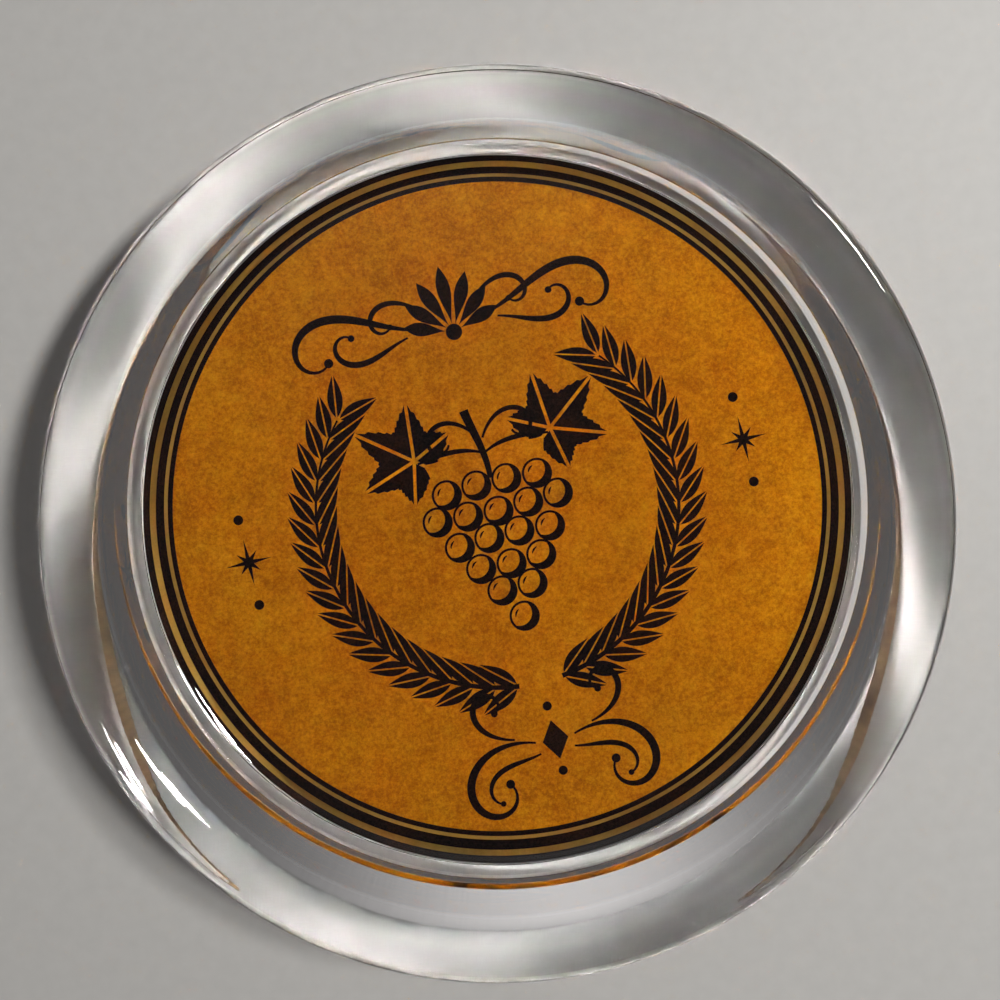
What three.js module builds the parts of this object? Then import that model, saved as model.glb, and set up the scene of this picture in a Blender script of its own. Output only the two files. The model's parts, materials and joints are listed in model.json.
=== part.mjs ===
// Round glass coaster: a heavy pressed glass dish, with a printed label and a cork pad glued into
// a pocket in its underside. Millimetres, +Z up, origin on the table under the coaster's middle.
import * as THREE from 'three';

// Glass dish
const outerDiameter = 127; // at the mould line, the widest line round the rim
const glassHeight = 20.5; // from the underside to the crest of the rim
const floorThickness = 6.6; // glass between the label and the recess
const outerCrownRadius = 1.65; // rounding from the mould line up to the crest
const crestLand = 0.55; // width of the level crest
const innerCrownRadius = 6.5; // rounding from the crest down to the recess wall
const recessWallAngle = 65.8; // slope of the recess wall, in degrees from level
const filletRadius = 3.6; // hollow rounding between recess wall and recess floor
const skirtDraft = 0.95; // how far the outer wall draws in on its way down
const footRadius = 0.9; // rounding of the lower outer edge
const footRingWidth = 6.25; // glass left round the label pocket, on the underside

// Label pocket and the layers glued into it
const pocketClearance = 0.3; // gap round the layers
const labelAdhesiveThickness = 0.1;
const labelThickness = 0.25;
const padAdhesiveThickness = 0.1;
const padThickness = 2.6;
const padStandOut = 0.4; // how far the pad reaches below the glass, so that the coaster stands on it

// Smoothness of the turned shapes
const turnSteps = 96;
const arcSteps = 8;

// Levels, from the table up
const padTop = padThickness;
const labelBottom = padTop + padAdhesiveThickness;
const labelTop = labelBottom + labelThickness;
const pocketCeiling = labelTop + labelAdhesiveThickness;
const underside = padStandOut;
const recessFloor = pocketCeiling + floorThickness;
const crest = underside + glassHeight;

// Radii, from the outside in
const outerRadius = outerDiameter / 2;
const footRadiusOut = outerRadius - skirtDraft;
const pocketRadius = footRadiusOut - footRingWidth;
const labelRadius = pocketRadius - pocketClearance;
const crestInner = outerRadius - outerCrownRadius - crestLand;

function radians(angle) {
  return angle * Math.PI / 180;
}

function degrees(angle) {
  return angle * 180 / Math.PI;
}

// A point on a circle in the turning plane: x is the distance from the axis, y the height.
function arcPoint(centreX, centreY, radius, atDegrees) {
  const angle = radians(atDegrees);
  return new THREE.Vector2(centreX + radius * Math.cos(angle), centreY + radius * Math.sin(angle));
}

function arc(centreX, centreY, radius, fromDegrees, toDegrees) {
  const points = [];
  for (let step = 0; step <= arcSteps; step += 1) {
    const atDegrees = fromDegrees + (toDegrees - fromDegrees) * step / arcSteps;
    points.push(arcPoint(centreX, centreY, radius, atDegrees));
  }
  return points;
}

// Turns a profile round the axis and stands the axis up along Z.
function turned(name, points, material) {
  const geometry = new THREE.LatheGeometry(points, turnSteps);
  geometry.rotateX(Math.PI / 2);
  const mesh = new THREE.Mesh(geometry, material);
  mesh.name = name;
  return mesh;
}

// A flat round layer that fills the pocket between two levels.
function layer(name, bottom, top, material) {
  const points = [
    new THREE.Vector2(0, bottom),
    new THREE.Vector2(labelRadius, bottom),
    new THREE.Vector2(labelRadius, top),
    new THREE.Vector2(0, top),
  ];
  return turned(name, points, material);
}

// Recess side of the rim, from the crest down to the floor and in to the axis.
// In a shallow recess the two roundings shrink together.
function recessProfile() {
  const slope = radians(recessWallAngle);
  const depth = crest - recessFloor;
  const bendDrop = (innerCrownRadius + filletRadius) * (1 - Math.cos(slope));
  const fit = Math.min(1, depth / bendDrop);
  const crown = innerCrownRadius * fit;
  const fillet = filletRadius * fit;
  const wallDrop = depth - bendDrop * fit;
  const wallRun = wallDrop / Math.tan(slope);
  const floorRadius = crestInner - (crown + fillet) * Math.sin(slope) - wallRun;
  return [
    ...arc(crestInner, crest - crown, crown, 90, 90 + recessWallAngle),
    ...arc(floorRadius, recessFloor + fillet, fillet, recessWallAngle - 90, -90),
    new THREE.Vector2(0, recessFloor),
  ];
}

// Outer side, from the underside up the drawn-in skirt and over the mould line to the crest.
// The skirt is the straight line that touches the foot's rounding and the crown's.
function outerProfile() {
  const foot = new THREE.Vector2(footRadiusOut - footRadius, underside + footRadius);
  const crown = new THREE.Vector2(outerRadius - outerCrownRadius, crest - outerCrownRadius);
  const span = crown.clone().sub(foot);
  const lean = Math.atan2(span.x, span.y) + Math.asin((outerCrownRadius - footRadius) / span.length());
  const skirtAngle = degrees(lean);
  return [
    ...arc(foot.x, foot.y, footRadius, -90, -skirtAngle),
    arcPoint(crown.x, crown.y, outerCrownRadius, -skirtAngle),
    ...arc(crown.x, crown.y, outerCrownRadius, 0, 90),
  ];
}

function glassBody(material) {
  const points = [
    new THREE.Vector2(0, pocketCeiling),
    new THREE.Vector2(pocketRadius, pocketCeiling),
    new THREE.Vector2(pocketRadius, underside),
    ...outerProfile(),
    ...recessProfile(),
  ];
  return turned('glass_body', points, material);
}

const clearGlass = new THREE.MeshStandardMaterial({
  color: 0xdfe6e4,
  roughness: 0.03,
  metalness: 0,
  transparent: true,
  opacity: 0.35,
});
const clearAdhesive = new THREE.MeshStandardMaterial({ color: 0xe9e4d2, roughness: 0.3, metalness: 0 });
const amberPaper = new THREE.MeshStandardMaterial({ color: 0xc07a12, roughness: 0.7, metalness: 0 });
const padAdhesive = new THREE.MeshStandardMaterial({ color: 0xe6dfc8, roughness: 0.4, metalness: 0 });
const cork = new THREE.MeshStandardMaterial({ color: 0xb08a5a, roughness: 0.9, metalness: 0 });

const coaster = new THREE.Group();
coaster.add(
  glassBody(clearGlass),
  layer('label_adhesive', labelTop, pocketCeiling, clearAdhesive),
  layer('printed_label', labelBottom, labelTop, amberPaper),
  layer('pad_adhesive', padTop, labelBottom, padAdhesive),
  layer('cork_pad', 0, padTop, cork),
);

export default coaster;
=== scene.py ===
import json
import math

import bmesh
import bpy
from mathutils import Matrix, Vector


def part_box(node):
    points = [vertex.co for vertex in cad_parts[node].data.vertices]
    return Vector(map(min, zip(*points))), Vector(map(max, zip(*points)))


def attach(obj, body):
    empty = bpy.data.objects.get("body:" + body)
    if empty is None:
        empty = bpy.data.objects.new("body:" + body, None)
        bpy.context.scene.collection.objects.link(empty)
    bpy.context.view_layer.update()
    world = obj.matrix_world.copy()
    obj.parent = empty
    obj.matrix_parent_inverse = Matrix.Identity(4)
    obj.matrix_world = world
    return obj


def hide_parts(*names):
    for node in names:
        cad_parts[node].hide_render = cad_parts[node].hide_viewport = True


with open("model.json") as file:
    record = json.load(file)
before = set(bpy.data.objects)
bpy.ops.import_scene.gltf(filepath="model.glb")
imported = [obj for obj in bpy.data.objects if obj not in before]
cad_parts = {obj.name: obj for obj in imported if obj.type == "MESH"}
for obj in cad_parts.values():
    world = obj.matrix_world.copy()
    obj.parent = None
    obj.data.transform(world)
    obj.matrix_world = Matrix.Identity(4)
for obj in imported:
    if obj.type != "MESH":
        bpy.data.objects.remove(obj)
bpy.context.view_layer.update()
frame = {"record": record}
scene = bpy.context.scene
mm = 0.001


# Small helpers for node trees and meshes

def addNode(tree, kind, **values):
    node = tree.nodes.new(kind)
    for key, value in values.items():
        if key in node.inputs:
            node.inputs[key].default_value = value
        else:
            setattr(node, key, value)
    return node


def newMaterial(name):
    material = bpy.data.materials.new(name)
    material.use_nodes = True
    tree = material.node_tree
    shader = tree.nodes["Principled BSDF"]
    coords = tree.nodes.new("ShaderNodeTexCoord")
    return material, tree, shader, coords.outputs["Object"]


def nodeMath(tree, operation, first, second=None):
    node = tree.nodes.new("ShaderNodeMath")
    node.operation = operation
    for socket, value in zip(node.inputs, (first, second)):
        if value is None:
            continue
        if isinstance(value, (int, float)):
            socket.default_value = value
        else:
            tree.links.new(value, socket)
    return node.outputs[0]


def scaled(tree, vector, factors):
    node = addNode(tree, "ShaderNodeMapping")
    node.inputs["Scale"].default_value = factors
    tree.links.new(vector, node.inputs["Vector"])
    return node.outputs["Vector"]


def noise(tree, vector, scale, detail=2.0, roughness=0.5):
    node = addNode(tree, "ShaderNodeTexNoise", Scale=scale, Detail=detail, Roughness=roughness)
    tree.links.new(vector, node.inputs["Vector"])
    return node.outputs[0]


def ramp(tree, value, stops):
    node = tree.nodes.new("ShaderNodeValToRGB")
    elements = node.color_ramp.elements
    while len(elements) < len(stops):
        elements.new(0.5)
    for element, (place, colour) in zip(elements, stops):
        element.position = place
        element.color = (*colour, 1)
    tree.links.new(value, node.inputs["Fac"])
    return node.outputs["Color"]


def spread(tree, value, low, high):
    node = addNode(tree, "ShaderNodeMapRange")
    node.inputs["To Min"].default_value = low
    node.inputs["To Max"].default_value = high
    tree.links.new(value, node.inputs["Value"])
    return node.outputs["Result"]


def fade(tree, value, start, end):
    node = addNode(tree, "ShaderNodeMapRange")
    node.inputs["From Min"].default_value = start
    node.inputs["From Max"].default_value = end
    tree.links.new(value, node.inputs["Value"])
    return node.outputs["Result"]


def aroundAxis(tree, vector):
    # the direction from the axis, and the distance from it
    flat = scaled(tree, vector, (1, 1, 0))
    heading = addNode(tree, "ShaderNodeVectorMath", operation="NORMALIZE")
    reach = addNode(tree, "ShaderNodeVectorMath", operation="LENGTH")
    tree.links.new(flat, heading.inputs[0])
    tree.links.new(flat, reach.inputs[0])
    return heading.outputs["Vector"], reach.outputs["Value"]


def blend(tree, share, first, second):
    node = addNode(tree, "ShaderNodeMix", data_type="RGBA")
    tree.links.new(share, node.inputs[0])
    tree.links.new(first, node.inputs[6])
    tree.links.new(second, node.inputs[7])
    return node.outputs[2]


def addBump(tree, shader, height, distance, strength=1.0):
    bump = addNode(tree, "ShaderNodeBump", Distance=distance, Strength=strength)
    tree.links.new(height, bump.inputs["Height"])
    tree.links.new(bump.outputs["Normal"], shader.inputs["Normal"])


# Geometry Nodes: turns a half section, drawn in X and Y, round the Z axis

turnSet = {
    "weld": 1e-7,
    "sharpAngle": 35,          # edges with a greater bend than this stay sharp
}


def spinTree():
    tree = bpy.data.node_groups.new("spinSection", "GeometryNodeTree")
    face = tree.interface
    face.new_socket("Section", in_out="INPUT", socket_type="NodeSocketGeometry")
    face.new_socket("Steps", in_out="INPUT", socket_type="NodeSocketInt")
    face.new_socket("Radius", in_out="INPUT", socket_type="NodeSocketFloat")
    face.new_socket("Weld", in_out="INPUT", socket_type="NodeSocketFloat")
    face.new_socket("Finish", in_out="INPUT", socket_type="NodeSocketMaterial")
    face.new_socket("Piece", in_out="OUTPUT", socket_type="NodeSocketGeometry")
    given = tree.nodes.new("NodeGroupInput")
    section = tree.nodes.new("GeometryNodeMeshToCurve")
    circle = tree.nodes.new("GeometryNodeCurvePrimitiveCircle")
    sweep = tree.nodes.new("GeometryNodeCurveToMesh")
    weld = tree.nodes.new("GeometryNodeMergeByDistance")
    smooth = tree.nodes.new("GeometryNodeSetShadeSmooth")
    realize = tree.nodes.new("GeometryNodeRealizeInstances")
    finish = tree.nodes.new("GeometryNodeSetMaterial")
    result = tree.nodes.new("NodeGroupOutput")
    link = tree.links.new
    link(given.outputs["Section"], section.inputs["Mesh"])
    link(given.outputs["Steps"], circle.inputs["Resolution"])
    link(given.outputs["Radius"], circle.inputs["Radius"])
    link(circle.outputs["Curve"], sweep.inputs["Curve"])
    link(section.outputs["Curve"], sweep.inputs["Profile Curve"])
    link(sweep.outputs["Mesh"], weld.inputs["Geometry"])
    link(given.outputs["Weld"], weld.inputs["Distance"])
    link(weld.outputs["Geometry"], smooth.inputs["Geometry"])
    link(smooth.outputs["Geometry"], realize.inputs["Geometry"])
    link(realize.outputs["Geometry"], finish.inputs["Geometry"])
    link(given.outputs["Finish"], finish.inputs["Material"])
    link(finish.outputs["Geometry"], result.inputs["Piece"])
    return tree


def runTree(name, mesh, tree, inputs):
    holder = bpy.data.objects.new(name + "Holder", mesh)
    scene.collection.objects.link(holder)
    modifier = holder.modifiers.new("nodes", "NODES")
    modifier.node_group = tree
    for item in tree.interface.items_tree:
        if item.in_out == "INPUT" and item.name in inputs:
            modifier[item.identifier] = inputs[item.name]
    depsgraph = bpy.context.evaluated_depsgraph_get()
    made = bpy.data.meshes.new_from_object(holder.evaluated_get(depsgraph))
    bpy.data.objects.remove(holder)
    made.name = name
    piece = bpy.data.objects.new(name, made)
    scene.collection.objects.link(piece)
    return piece


def turnOutward(piece):
    work = bmesh.new()
    work.from_mesh(piece.data)
    bmesh.ops.recalc_face_normals(work, faces=work.faces)
    work.to_mesh(piece.data)
    work.free()


def spun(name, points, material, steps, closed=False):
    # the sweep follows a circle, with the section drawn inwards from it and Y pointing down
    path = max(x for x, y in points)
    mesh = bpy.data.meshes.new(name + "Section")
    count = len(points)
    edges = [(i, (i + 1) % count) for i in range(count if closed else count - 1)]
    mesh.from_pydata([(x - path, -y, 0) for x, y in points], edges, [])
    sizes = {"Steps": steps, "Radius": path, "Weld": turnSet["weld"], "Finish": material}
    piece = runTree(name, mesh, turnedTree, sizes)
    turnOutward(piece)
    piece.data.set_sharp_from_angle(angle=math.radians(turnSet["sharpAngle"]))
    return piece


def layerSection(low, high):
    # half the section of a flat round layer that fills a solid's box
    return [(0, low.z), (high.x, low.z), (high.x, high.z), (0, high.z)]


turnedTree = spinTree()


# Glass dish: the heavy pressed glass, with the clear film that fills it down to the label

dishSet = {
    "outerCrown": 1.65 * mm,
    "crestLand": 0.55 * mm,
    "innerCrown": 6.5 * mm,
    "wallAngle": 65.8,
    "fillet": 3.6 * mm,
    "skirtDraft": 0.95 * mm,
    "foot": 0.9 * mm,
    "footRing": 6.25 * mm,
    "arcSteps": 28,
    "footSteps": 12,
    "skirtSteps": 3,
    "support": 0.12 * mm,      # loops beside each rounding, which keep the flats flat
    "turnSteps": 256,
    "bond": 0.01 * mm,         # how deep the label lies in the film
    "ior": 1.52,
    "tint": [(0.3, (0.994, 0.99, 0.987)), (0.7, (0.998, 0.996, 0.995))],
    "roughness": (0.0, 0.012),
    "waveScale": 160,
    "markScale": 110,
    "markReach": (50 * mm, 56 * mm),       # where the marks fade in, from the axis
    "markShare": 0.7,
    "waveHeight": 4e-6,
}

glassLow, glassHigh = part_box("glass_body")
labelLow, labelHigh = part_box("printed_label")
recessFloor = next(m for m in frame["record"]["mounts"] if m["name"] == "recess_floor")["pos_m"][2]


def arcPoints(centre, radius, start, end, steps):
    points = []
    for step in range(steps + 1):
        angle = math.radians(start + (end - start) * step / steps)
        points.append((centre[0] + radius * math.cos(angle), centre[1] + radius * math.sin(angle)))
    return points


def withSupport(runs, support):
    # joins the runs, with a point close to each end of the straight stretch between two of them
    points = list(runs[0])
    for run in runs[1:]:
        (x0, y0), (x1, y1) = points[-1], run[0]
        length = math.hypot(x1 - x0, y1 - y0)
        if length > 4 * support:
            share = support / length
            points.append((x0 + (x1 - x0) * share, y0 + (y1 - y0) * share))
            points.append((x1 - (x1 - x0) * share, y1 - (y1 - y0) * share))
        points += run if length > support / 10 else run[1:]
    return points


def dishSection():
    s = dishSet
    outer = glassHigh.x
    under, crest = glassLow.z, glassHigh.z
    ceiling = labelHigh.z - s["bond"]
    footOuter = outer - s["skirtDraft"]
    pocket = footOuter - s["footRing"]
    footX, footY = footOuter - s["foot"], under + s["foot"]
    crownX, crownY = outer - s["outerCrown"], crest - s["outerCrown"]
    reach = math.hypot(crownX - footX, crownY - footY)
    lean = math.atan2(crownX - footX, crownY - footY)
    skirt = math.degrees(lean + math.asin((s["outerCrown"] - s["foot"]) / reach))
    crestInner = outer - s["outerCrown"] - s["crestLand"]
    wall = s["wallAngle"]
    slope = math.radians(wall)
    bends = s["innerCrown"] + s["fillet"]
    wallDrop = crest - recessFloor - bends * (1 - math.cos(slope))
    floorRadius = crestInner - bends * math.sin(slope) - wallDrop / math.tan(slope)
    steps = s["arcSteps"]
    runs = [
        [(0, ceiling)],
        [(pocket, ceiling)],
        [(pocket, under)],
        arcPoints((footX, footY), s["foot"], -90, -skirt, s["footSteps"]),
        arcPoints((crownX, crownY), s["outerCrown"], -skirt, 0, s["skirtSteps"]),
        arcPoints((crownX, crownY), s["outerCrown"], 0, 90, steps),
        arcPoints((crestInner, crest - s["innerCrown"]), s["innerCrown"], 90, 90 + wall, steps),
        arcPoints((floorRadius, recessFloor + s["fillet"]), s["fillet"], wall - 90, -90, steps),
        [(0, recessFloor)],
    ]
    return withSupport(runs, s["support"])


def glassFinish():
    material, tree, shader, place = newMaterial("pressedGlass")
    link = tree.links.new
    s = dishSet
    shader.inputs["Transmission Weight"].default_value = 1.0
    shader.inputs["IOR"].default_value = s["ior"]
    cloud = noise(tree, place, 90, 3)
    link(ramp(tree, cloud, s["tint"]), shader.inputs["Base Color"])
    smear = noise(tree, place, 260, 4)
    link(spread(tree, smear, *s["roughness"]), shader.inputs["Roughness"])
    # the mould leaves a slight wave and fine marks across the rim
    wave = noise(tree, place, s["waveScale"], 1)
    heading, reach = aroundAxis(tree, place)
    marks = noise(tree, heading, s["markScale"], 2, 0.6)
    marks = nodeMath(tree, "MULTIPLY", marks, fade(tree, reach, *s["markReach"]))
    height = nodeMath(tree, "ADD", wave, nodeMath(tree, "MULTIPLY", marks, s["markShare"]))
    addBump(tree, shader, height, s["waveHeight"])
    return material


glassDish = spun("glassDish", dishSection(), glassFinish(), dishSet["turnSteps"])
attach(glassDish, "root")
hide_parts("glass_body", "label_adhesive")
print("glass dish:", len(glassDish.data.polygons), "faces")


# Paper label and its black border rings

labelSet = {
    "turnSteps": 192,
    "inkDepth": 0.01 * mm,
    # inner and outer radius of each ring, in mm
    "rings": [(53.72, 55.6), (50.48, 52.18), (49.18, 49.93)],
    "amber": [
        (0.39, (0.51, 0.145, 0.001)),
        (0.467, (0.66, 0.23, 0.002)),
        (0.533, (0.78, 0.305, 0.004)),
        (0.62, (0.91, 0.42, 0.009)),
    ],
    # scale, detail and roughness of the noise, and its share in the amber
    "fine": (1900, 4, 0.75, 0.5),
    "blots": (520, 5, 0.7, 0.31),
    "clouds": (60, 3, 0.6, 0.19),
    "border": (0.5, 0.285, 0.06),       # the paper between the rings is duller
    "borderReach": (49.4, 49.8),
    "margin": (0.46, 0.45, 0.43),       # unprinted, outside the outer ring
    "marginReach": (55.5, 55.6),
    "grainShade": 0.8,
    "paperRoughness": (0.6, 0.85),
    "paperGrain": 1e-5,
    "ink": [(0.35, (0.01, 0.004, 0.002)), (0.7, (0.03, 0.01, 0.005))],
    "inkRoughness": (0.45, 0.7),
    "inkGrain": 4e-6,
}


def paperFinish():
    material, tree, shader, place = newMaterial("amberParchment")
    link = tree.links.new
    s = labelSet
    fine = noise(tree, place, *s["fine"][:3])
    blots = noise(tree, place, *s["blots"][:3])
    clouds = noise(tree, place, *s["clouds"][:3])
    mottle = nodeMath(tree, "MULTIPLY", fine, s["fine"][3])
    mottle = nodeMath(tree, "ADD", mottle, nodeMath(tree, "MULTIPLY", blots, s["blots"][3]))
    mottle = nodeMath(tree, "ADD", mottle, nodeMath(tree, "MULTIPLY", clouds, s["clouds"][3]))
    reach = aroundAxis(tree, place)[1]
    field = ramp(tree, mottle, s["amber"])
    for name in ("border", "margin"):
        start, end = s[name + "Reach"]
        low = tuple(c * s["grainShade"] for c in s[name])
        plain = ramp(tree, fine, [(0.3, low), (0.7, s[name])])
        field = blend(tree, fade(tree, reach, start * mm, end * mm), field, plain)
    link(field, shader.inputs["Base Color"])
    link(spread(tree, fine, *s["paperRoughness"]), shader.inputs["Roughness"])
    # the paper is glued to the glass, so it has no shine of its own
    shader.inputs["Specular IOR Level"].default_value = 0.0
    addBump(tree, shader, fine, s["paperGrain"])
    return material


def inkFinish():
    material, tree, shader, place = newMaterial("blackInk")
    link = tree.links.new
    s = labelSet
    fine = noise(tree, place, 2600, 3, 0.6)
    link(ramp(tree, fine, s["ink"]), shader.inputs["Base Color"])
    link(spread(tree, fine, *s["inkRoughness"]), shader.inputs["Roughness"])
    shader.inputs["Specular IOR Level"].default_value = 0.0
    addBump(tree, shader, fine, s["inkGrain"])
    return material


blackInk = inkFinish()
paper = layerSection(labelLow, labelHigh)
paperLabel = spun("paperLabel", paper, paperFinish(), labelSet["turnSteps"])
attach(paperLabel, "root")
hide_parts("printed_label")
for index, (inner, outer) in enumerate(labelSet["rings"]):
    low, high = labelHigh.z, labelHigh.z + labelSet["inkDepth"]
    section = [(inner * mm, low), (outer * mm, low), (outer * mm, high), (inner * mm, high)]
    ring = spun(f"borderRing{index + 1}", section, blackInk, labelSet["turnSteps"], closed=True)
    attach(ring, "root")
print("label and rings made")


# Printed ornament: grapes and vine leaves in a laurel wreath, with scrolls above and below

printSet = {
    "grape": 2.3,                       # radius, in mm like every size here
    "grapeRows": (4, 5, 4, 3, 2, 1),
    "grapeTop": (0.0, 3.6),
    "grapeSpacing": (2.04, 1.78),       # along and between the rows, in radii
    "grapeSag": 0.25,
    "grapeLine": 0.36,
    "grapeTurn": 0.35,
    "leafSize": 9.4,
    "leafPlaces": ((10.6, 9.6, 38), (-10.6, 9.6, 142)),     # x, y and heading of each vine leaf
    "leafVein": 0.24,
    "stem": ((0.0, 4.4), 84, 11.0, (4.0, -3.0)),
    "stalks": [
        # start, heading, length, bends at both ends
        ((0.2, 8.4), 28, 10.2, (-6.0, 0.0)),
        ((0.3, 10.6), 62, 15.0, (-6.0, -44)),
    ],
    "wreathRadius": 27.5,
    "wreathFrom": -83,
    "wreathTo": 42,
    "wreathSpacing": 3.3,
    "wreathSteps": 60,
    "laurelLeaf": (6.4, 2.1),           # length and width
    "laurelRib": 0.11,
    "laurelLean": 33,
    "scrolls": [
        # start, heading, length, bends at both ends, thickness
        ((3.0, -36.2), 20, 27, (-4.5, -24), 1.25),
        ((6.0, -35.0), 12, 16, (5.0, 44), 0.95),
        ((2.6, -38.0), -14, 13, (4.0, -36), 0.8),
        ((4.2, 28.6), 8, 30, (3.6, -26), 1.3),
        ((7.0, 28.0), -12, 17, (-4.0, 42), 0.95),
        ((4.0, 31.5), 40, 14, (-3.0, -46), 0.85),
    ],
    "palmette": (27.2, 9.0, 1.05),      # height of its foot, length and half width of a petal
    "starPlace": (38.6, 0.8),
    "starReach": (3.6, 2.2, 0.8),       # long points, short points and hollows
    "ink": labelSet["inkDepth"],
}


def newSheet():
    return {"verts": [], "faces": []}


def addPatch(sheet, outline):
    # a flat shape with the depth of the ink
    first, count = len(sheet["verts"]), len(outline)
    low, high = labelHigh.z, labelHigh.z + printSet["ink"]
    sheet["verts"] += [(x * mm, y * mm, low) for x, y in outline]
    sheet["verts"] += [(x * mm, y * mm, high) for x, y in outline]
    sheet["faces"].append([first + i for i in reversed(range(count))])
    sheet["faces"].append([first + count + i for i in range(count)])
    for i in range(count):
        after = (i + 1) % count
        sheet["faces"].append([first + i, first + after, first + count + after, first + count + i])


def addStroke(sheet, points, widths):
    left, right = [], []
    for i, (x, y) in enumerate(points):
        (x0, y0), (x1, y1) = points[max(i - 1, 0)], points[min(i + 1, len(points) - 1)]
        length = math.hypot(x1 - x0, y1 - y0)
        dx, dy = -(y1 - y0) / length * widths[i] / 2, (x1 - x0) / length * widths[i] / 2
        left.append((x + dx, y + dy))
        right.append((x - dx, y - dy))
    addPatch(sheet, right + left[::-1])


def flourish(start, heading, length, bends, steps=44):
    # a pen stroke whose bend, in degrees for each mm, runs from the first value to the last
    (x, y), angle = start, heading
    points = [(x, y)]
    step = length / steps
    for i in range(steps):
        share = (i + 0.5) / steps
        angle += step * (bends[0] + (bends[1] - bends[0]) * share ** 1.6)
        x += step * math.cos(math.radians(angle))
        y += step * math.sin(math.radians(angle))
        points.append((x, y))
    return points


def penWidths(count, thin, thick):
    return [thin + (thick - thin) * math.sin(math.pi * i / (count - 1)) ** 1.3 for i in range(count)]


def mirrored(points):
    return [(-x, y) for x, y in points]


def circlePoints(centre, radius, start=0, end=360, steps=28):
    angles = [math.radians(start + (end - start) * i / steps) for i in range(steps)]
    return [(centre[0] + radius * math.cos(a), centre[1] + radius * math.sin(a)) for a in angles]


def inkPiece(name, sheet):
    mesh = bpy.data.meshes.new(name)
    mesh.from_pydata(sheet["verts"], [], sheet["faces"])
    mesh.materials.append(blackInk)
    piece = bpy.data.objects.new(name, mesh)
    scene.collection.objects.link(piece)
    return piece


def carryInk(piece):
    turnOutward(piece)
    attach(piece, "root")


# Geometry Nodes: one drawn grape on every point, and laurel leaves in pairs along a branch

def grapeTree():
    tree = bpy.data.node_groups.new("grapeBunch", "GeometryNodeTree")
    face = tree.interface
    face.new_socket("Places", in_out="INPUT", socket_type="NodeSocketGeometry")
    face.new_socket("Grape", in_out="INPUT", socket_type="NodeSocketObject")
    face.new_socket("Turn", in_out="INPUT", socket_type="NodeSocketFloat")
    face.new_socket("Finish", in_out="INPUT", socket_type="NodeSocketMaterial")
    face.new_socket("Piece", in_out="OUTPUT", socket_type="NodeSocketGeometry")
    link = tree.links.new
    given = tree.nodes.new("NodeGroupInput")
    grape = tree.nodes.new("GeometryNodeObjectInfo")
    chance = tree.nodes.new("FunctionNodeRandomValue")
    chance.inputs["Seed"].default_value = 4
    spin = tree.nodes.new("ShaderNodeCombineXYZ")
    swing = tree.nodes.new("ShaderNodeMath")
    swing.operation = "MULTIPLY"
    place = tree.nodes.new("GeometryNodeInstanceOnPoints")
    realize = tree.nodes.new("GeometryNodeRealizeInstances")
    finish = tree.nodes.new("GeometryNodeSetMaterial")
    result = tree.nodes.new("NodeGroupOutput")
    link(given.outputs["Grape"], grape.inputs["Object"])
    link(chance.outputs[1], swing.inputs[0])
    link(given.outputs["Turn"], swing.inputs[1])
    link(swing.outputs[0], spin.inputs["Z"])
    link(given.outputs["Places"], place.inputs["Points"])
    link(grape.outputs["Geometry"], place.inputs["Instance"])
    link(spin.outputs["Vector"], place.inputs["Rotation"])
    link(place.outputs["Instances"], realize.inputs["Geometry"])
    link(realize.outputs["Geometry"], finish.inputs["Geometry"])
    link(given.outputs["Finish"], finish.inputs["Material"])
    link(finish.outputs["Geometry"], result.inputs["Piece"])
    return tree


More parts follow.
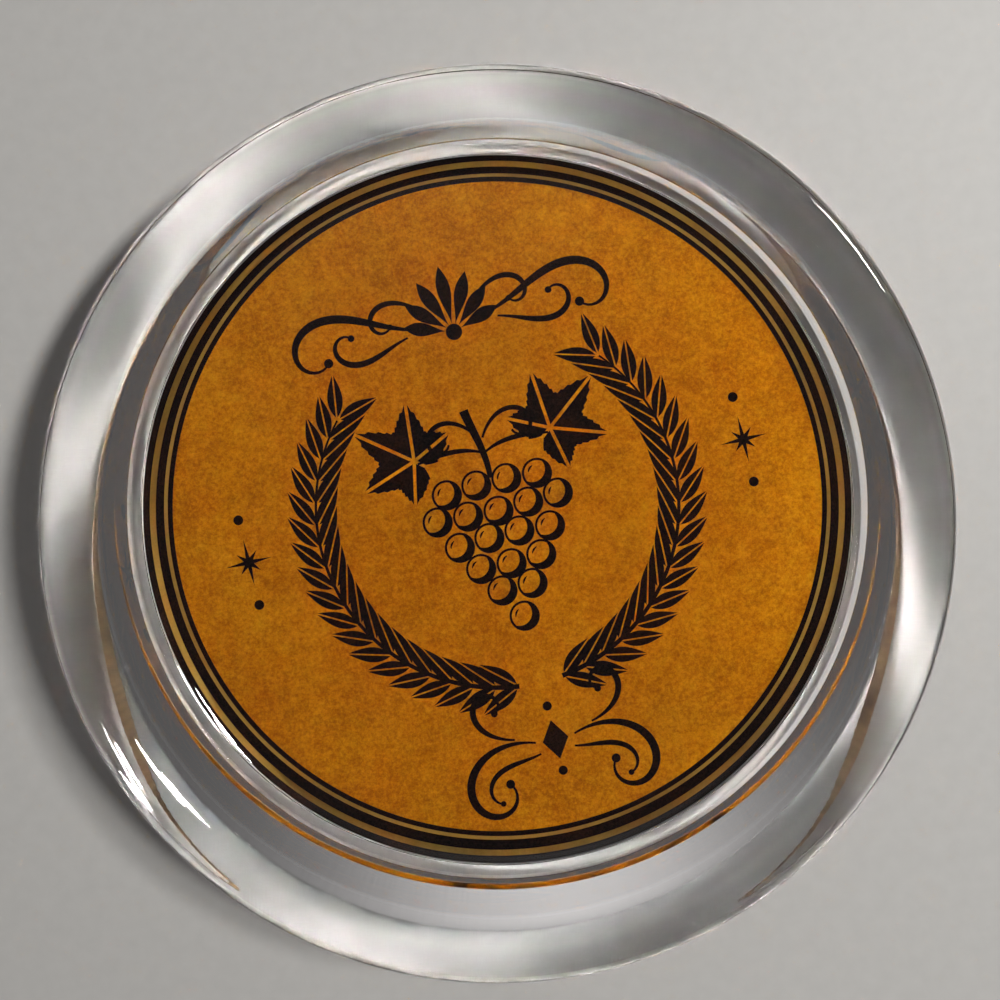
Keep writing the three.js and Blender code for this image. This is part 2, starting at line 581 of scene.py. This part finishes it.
def laurelTree():
    tree = bpy.data.node_groups.new("laurelBranch", "GeometryNodeTree")
    face = tree.interface
    face.new_socket("Branch", in_out="INPUT", socket_type="NodeSocketGeometry")
    face.new_socket("Leaf", in_out="INPUT", socket_type="NodeSocketObject")
    face.new_socket("Spacing", in_out="INPUT", socket_type="NodeSocketFloat")
    face.new_socket("Lean", in_out="INPUT", socket_type="NodeSocketFloat")
    face.new_socket("Finish", in_out="INPUT", socket_type="NodeSocketMaterial")
    face.new_socket("Piece", in_out="OUTPUT", socket_type="NodeSocketGeometry")
    link = tree.links.new
    given = tree.nodes.new("NodeGroupInput")
    leaf = tree.nodes.new("GeometryNodeObjectInfo")
    path = tree.nodes.new("GeometryNodeMeshToCurve")
    points = tree.nodes.new("GeometryNodeCurveToPoints")
    points.mode = "LENGTH"
    along = tree.nodes.new("FunctionNodeAlignRotationToVector")
    along.axis = "X"
    along.pivot_axis = "Z"
    join = tree.nodes.new("GeometryNodeJoinGeometry")
    link(given.outputs["Leaf"], leaf.inputs["Object"])
    link(given.outputs["Branch"], path.inputs["Mesh"])
    link(path.outputs["Curve"], points.inputs["Curve"])
    link(given.outputs["Spacing"], points.inputs["Length"])
    link(points.outputs["Tangent"], along.inputs["Vector"])
    for side in (1, -1):
        lean = tree.nodes.new("ShaderNodeMath")
        lean.operation = "MULTIPLY"
        lean.inputs[1].default_value = side
        spin = tree.nodes.new("ShaderNodeCombineXYZ")
        turn = tree.nodes.new("FunctionNodeRotateRotation")
        turn.rotation_space = "LOCAL"
        place = tree.nodes.new("GeometryNodeInstanceOnPoints")
        link(given.outputs["Lean"], lean.inputs[0])
        link(lean.outputs[0], spin.inputs["Z"])
        link(along.outputs["Rotation"], turn.inputs["Rotation"])
        link(spin.outputs["Vector"], turn.inputs["Rotate By"])
        link(points.outputs["Points"], place.inputs["Points"])
        link(leaf.outputs["Geometry"], place.inputs["Instance"])
        link(turn.outputs["Rotation"], place.inputs["Rotation"])
        link(place.outputs["Instances"], join.inputs["Geometry"])
    realize = tree.nodes.new("GeometryNodeRealizeInstances")
    finish = tree.nodes.new("GeometryNodeSetMaterial")
    result = tree.nodes.new("NodeGroupOutput")
    link(join.outputs["Geometry"], realize.inputs["Geometry"])
    link(realize.outputs["Geometry"], finish.inputs["Geometry"])
    link(given.outputs["Finish"], finish.inputs["Material"])
    link(finish.outputs["Geometry"], result.inputs["Piece"])
    return tree


def grapeBunch():
    s = printSet
    grape = newSheet()
    radius, line = s["grape"], s["grapeLine"]
    # the outline runs a little past its start, so that no notch shows
    addStroke(grape, circlePoints((0, 0), radius - line / 2, 0, 369.3, 40), [line] * 40)
    shade = circlePoints((0, 0), radius - 0.2, -165, 40, 24)
    addPatch(grape, shade + circlePoints((-0.55, 0.75), radius - 0.35, 25, -150, 24))
    addStroke(grape, circlePoints((0, 0), radius * 0.58, 105, 165, 10), penWidths(10, 0.12, 0.3))
    model = inkPiece("grapeModel", grape)
    places = []
    (middle, top), (across, down) = s["grapeTop"], s["grapeSpacing"]
    for row, count in enumerate(s["grapeRows"]):
        for i in range(count):
            x = (i - (count - 1) / 2) * radius * across
            y = top - row * radius * down - s["grapeSag"] * math.cos(x)
            places.append(((middle + x) * mm, y * mm, 0))
    mesh = bpy.data.meshes.new("grapePlaces")
    mesh.from_pydata(places, [], [])
    inputs = {"Grape": model, "Turn": s["grapeTurn"], "Finish": blackInk}
    piece = runTree("inkGrapes", mesh, grapeTree(), inputs)
    bpy.data.objects.remove(model)
    return piece


def wreathBranches():
    s = printSet
    length, width = s["laurelLeaf"]
    bare, start = s["laurelRib"], 0.5
    leaf = newSheet()
    for side in (1, -1):
        outline = []
        for i in range(13):
            share = i / 12
            bow = math.sin(math.pi * share ** 0.8) * width / 2
            outline.append((start + share * length, side * (bow + bare)))
        rib = [(start + length * share, side * bare) for share in (0.9, 0.5, 0.05)]
        addPatch(leaf, outline + rib if side == 1 else (outline + rib)[::-1])
    model = inkPiece("laurelModel", leaf)
    tree = laurelTree()
    inputs = {
        "Leaf": model,
        "Spacing": s["wreathSpacing"] * mm,
        "Lean": math.radians(s["laurelLean"]),
        "Finish": blackInk,
    }
    steps = s["wreathSteps"]
    right = arcPoints((0, 0), s["wreathRadius"], s["wreathFrom"], s["wreathTo"], steps)
    pieces = []
    for name, points in (("inkLaurelRight", right), ("inkLaurelLeft", mirrored(right))):
        mesh = bpy.data.meshes.new(name + "Path")
        edges = [(i, i + 1) for i in range(steps)]
        mesh.from_pydata([(x * mm, y * mm, 0) for x, y in points], edges, [])
        pieces.append(runTree(name, mesh, tree, inputs))
        stem = newSheet()
        addStroke(stem, points, [0.75 - 0.45 * i / steps for i in range(steps + 1)])
        pieces.append(inkPiece(name + "Stem", stem))
    bpy.data.objects.remove(model)
    return pieces


def vineLeaf(sheet, place, heading, size):
    # each field between two veins is its own patch, moved out a little to leave the vein bare
    lobes = [(-116, 0.66), (-57, 0.88), (0, 1.0), (57, 0.88), (116, 0.66)]
    bays = [(-158, 0.34), (-87, 0.47), (-29, 0.53), (29, 0.53), (87, 0.47), (158, 0.34)]
    teeth = 8
    ring = [(-180, 0.16)]
    for bay, lobe in zip(bays, lobes):
        ring += [bay, lobe]
    ring += [bays[-1], (180, 0.16)]
    edge = []
    for (a0, r0), (a1, r1) in zip(ring, ring[1:]):
        for i in range(teeth):
            share = i / teeth
            rise = share ** 1.5 if r1 > r0 else 1 - (1 - share) ** 1.5
            bite = 0.94 if i % 2 and r0 + r1 > 0.9 else 1.0
            edge.append((a0 + (a1 - a0) * share, (r0 + (r1 - r0) * rise) * bite))
    edge.append(ring[-1])
    veins = [-180] + [a for a, r in lobes] + [180]
    for before, after in zip(veins, veins[1:]):
        field = [(a, r) for a, r in edge if before <= a <= after]
        middle = math.radians(heading + (before + after) / 2)
        shift = printSet["leafVein"] / math.sin(math.radians((after - before) / 2))
        x0, y0 = place[0] + shift * math.cos(middle), place[1] + shift * math.sin(middle)
        outline = [(x0, y0)]
        for angle, radius in field:
            turn = math.radians(heading + angle)
            reach = size * radius
            outline.append((x0 + reach * math.cos(turn), y0 + reach * math.sin(turn)))
        addPatch(sheet, outline)


def vineSprig():
    sheet = newSheet()
    for x, y, heading in printSet["leafPlaces"]:
        vineLeaf(sheet, (x, y), heading, printSet["leafSize"])
    stem = flourish(*printSet["stem"])
    last = len(stem) - 1
    addStroke(sheet, stem, [0.8 + 0.6 * i / last for i in range(last + 1)])
    for drawn in printSet["stalks"]:
        stalk = flourish(*drawn)
        for points in (stalk, mirrored(stalk)):
            addStroke(sheet, points, penWidths(len(points), 0.35, 0.75))
    return inkPiece("inkVineSprig", sheet)


def scrollwork():
    sheet = newSheet()
    for *drawn, thick in printSet["scrolls"]:
        stroke = flourish(*drawn)
        for points in (stroke, mirrored(stroke)):
            addStroke(sheet, points, penWidths(len(points), 0.3, thick))
            addPatch(sheet, circlePoints(points[-1], thick * 0.55, steps=16))
    # petals spread like a fan above, a lozenge between two dots below
    foot, longest, halfWidth = printSet["palmette"]
    for angle in range(-72, 73, 24):
        reach = longest - abs(angle) * 0.035
        turn = math.radians(90 - angle)
        petal = []
        for i in range(25):
            share = i / 12 if i <= 12 else (24 - i) / 12
            side = 1 if i <= 12 else -1
            bow = side * halfWidth * math.sin(math.pi * share ** 1.4)
            along = 1.2 + reach * share
            x = along * math.cos(turn) - bow * math.sin(turn)
            y = along * math.sin(turn) + bow * math.cos(turn)
            petal.append((x, foot + y))
        addPatch(sheet, petal[:-1])
    addPatch(sheet, circlePoints((0, foot), 1.25))
    addPatch(sheet, [(0, -33.4), (2.0, -36.4), (0, -39.4), (-2.0, -36.4)])
    for y in (-31.2, -41.2):
        addPatch(sheet, circlePoints((0, y), 0.7, steps=18))
    return inkPiece("inkScrolls", sheet)


def sideStars():
    sheet = newSheet()
    across, up = printSet["starPlace"]
    longPoint, shortPoint, hollow = printSet["starReach"]
    for x in (across, -across):
        star = []
        for i, reach in enumerate((longPoint, hollow, shortPoint, hollow) * 4):
            turn = math.radians(i * 22.5)
            star.append((x + reach * math.cos(turn), up + reach * math.sin(turn)))
        addPatch(sheet, star)
        for y in (7.4, -5.8):
            addPatch(sheet, circlePoints((x, y), 0.75, steps=18))
    return inkPiece("inkStars", sheet)


for piece in [grapeBunch(), *wreathBranches(), vineSprig(), scrollwork(), sideStars()]:
    carryInk(piece)
print("printed ornament made")


# Cork pad and the adhesive that holds it

padSet = {
    "turnSteps": 192,
    "grainScale": 900,
    "cork": [(0.1, (0.52, 0.33, 0.17)), (0.8, (0.28, 0.15, 0.07))],
    "corkRoughness": (0.75, 0.95),
    "corkGrain": 6e-5,
    "film": [(0.3, (0.72, 0.68, 0.55)), (0.7, (0.82, 0.78, 0.66))],
    "filmRoughness": (0.35, 0.55),
}


def corkFinish():
    material, tree, shader, place = newMaterial("corkSheet")
    link = tree.links.new
    s = padSet
    cells = addNode(tree, "ShaderNodeTexVoronoi", Scale=s["grainScale"])
    link(place, cells.inputs["Vector"])
    grain = cells.outputs["Distance"]
    link(ramp(tree, grain, s["cork"]), shader.inputs["Base Color"])
    link(spread(tree, grain, *s["corkRoughness"]), shader.inputs["Roughness"])
    addBump(tree, shader, grain, s["corkGrain"])
    return material


def filmFinish():
    material, tree, shader, place = newMaterial("padFilm")
    link = tree.links.new
    fine = noise(tree, place, 700, 3)
    link(ramp(tree, fine, padSet["film"]), shader.inputs["Base Color"])
    link(spread(tree, fine, *padSet["filmRoughness"]), shader.inputs["Roughness"])
    return material


pad = layerSection(*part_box("cork_pad"))
corkPad = spun("corkPad", pad, corkFinish(), padSet["turnSteps"])
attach(corkPad, "root")
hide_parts("cork_pad")
glue = layerSection(*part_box("pad_adhesive"))
padFilm = spun("padFilm", glue, filmFinish(), padSet["turnSteps"])
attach(padFilm, "root")
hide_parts("pad_adhesive")
print("cork pad and film made")


# Floor, light and camera

stageSet = {
    "floorSize": 8.0,
    "floorColour": (0.515, 0.51, 0.5),
    "floorShades": (0.97, 1.02),
    "floorRoughness": 0.6,
}


def floorFinish():
    material, tree, shader, place = newMaterial("paleTable")
    link = tree.links.new
    fine = noise(tree, place, 400, 4)
    low, high = (tuple(c * shade for c in stageSet["floorColour"]) for shade in stageSet["floorShades"])
    link(ramp(tree, fine, [(0.3, low), (0.7, high)]), shader.inputs["Base Color"])
    shader.inputs["Roughness"].default_value = stageSet["floorRoughness"]
    return material


half = stageSet["floorSize"] / 2
corners = [(-half, -half, 0), (half, -half, 0), (half, half, 0), (-half, half, 0)]
floorMesh = bpy.data.meshes.new("tableTop")
floorMesh.from_pydata(corners, [], [(0, 1, 2, 3)])
floorMesh.materials.append(floorFinish())
tableTop = bpy.data.objects.new("tableTop", floorMesh)
scene.collection.objects.link(tableTop)


pictureTurn = 14               # how far the print leans in the picture, in degrees

lightSet = {
    "room": (1.0, 0.97, 0.96),
    "roomStrength": 0.09,
    "glow": (24, 103, 0.55),       # tilt, angle and strength of a paler patch overhead
    "glowFocus": 24,
    "distance": 0.68,
    # tilt from straight up, angle from the picture's right towards its top, width and power
    "mainLamp": (30, 21, 0.08, 2.1),
    "sideLamp": (36, 29, 0.08, 1.8),
    "lampColour": (1.0, 0.98, 0.945),
}


def towards(tilt, angle):
    lean, turn = math.radians(tilt), math.radians(angle - pictureTurn)
    across = math.sin(lean)
    return Vector((across * math.cos(turn), across * math.sin(turn), math.cos(lean)))


def roomLight():
    world = bpy.data.worlds.new("dimRoom")
    scene.world = world
    world.use_nodes = True
    tree = world.node_tree
    back = tree.nodes["Background"]
    back.inputs["Color"].default_value = (*lightSet["room"], 1)
    tilt, angle, strength = lightSet["glow"]
    place = tree.nodes.new("ShaderNodeTexCoord")
    facing = addNode(tree, "ShaderNodeVectorMath", operation="DOT_PRODUCT")
    facing.inputs[1].default_value = towards(tilt, angle)
    tree.links.new(place.outputs["Generated"], facing.inputs[0])
    patch = nodeMath(tree, "MAXIMUM", facing.outputs["Value"], 0)
    patch = nodeMath(tree, "POWER", patch, lightSet["glowFocus"])
    level = nodeMath(tree, "MULTIPLY", patch, strength)
    level = nodeMath(tree, "ADD", level, lightSet["roomStrength"])
    tree.links.new(level, back.inputs["Strength"])


def lamp(name):
    tilt, angle, width, power = lightSet[name]
    data = bpy.data.lights.new(name, "AREA")
    data.shape = "DISK"
    data.size = width
    data.energy = power
    data.color = lightSet["lampColour"]
    holder = bpy.data.objects.new(name, data)
    holder.location = towards(tilt, angle) * lightSet["distance"]
    holder.rotation_mode = "QUATERNION"
    holder.rotation_quaternion = holder.location.to_track_quat("Z", "Y")
    scene.collection.objects.link(holder)


roomLight()
for name in ("mainLamp", "sideLamp"):
    lamp(name)
# light that has passed through the glass stays sharp on the floor
scene.cycles.blur_glossy = 0
scene.cycles.sample_clamp_indirect = 0

cameraSet = {
    "sensor": 36,
    "frame": 1000,             # width of the picture in pixels
    "focal": 1075,             # in pixels too
    "offset": 27.58 * mm,      # towards the picture's top
    "height": 168.2 * mm,
    "side": 0.4 * mm,
    "shift": -0.176,
    "clipStart": 5 * mm,
}


def placeCamera():
    s = cameraSet
    data = bpy.data.cameras.new("overhead")
    data.sensor_width = s["sensor"]
    data.lens = s["sensor"] * s["focal"] / s["frame"]
    data.shift_y = s["shift"]
    data.clip_start = s["clipStart"]
    turn = math.radians(pictureTurn)
    camera = bpy.data.objects.new("overhead", data)
    camera.location = (
        s["offset"] * math.sin(turn) + s["side"] * math.cos(turn),
        s["offset"] * math.cos(turn) - s["side"] * math.sin(turn),
        s["height"],
    )
    camera.rotation_euler = (0, 0, -turn)
    scene.collection.objects.link(camera)
    scene.camera = camera


placeCamera()
scene.view_settings.view_transform = "Standard"
print("stage, light and camera made")
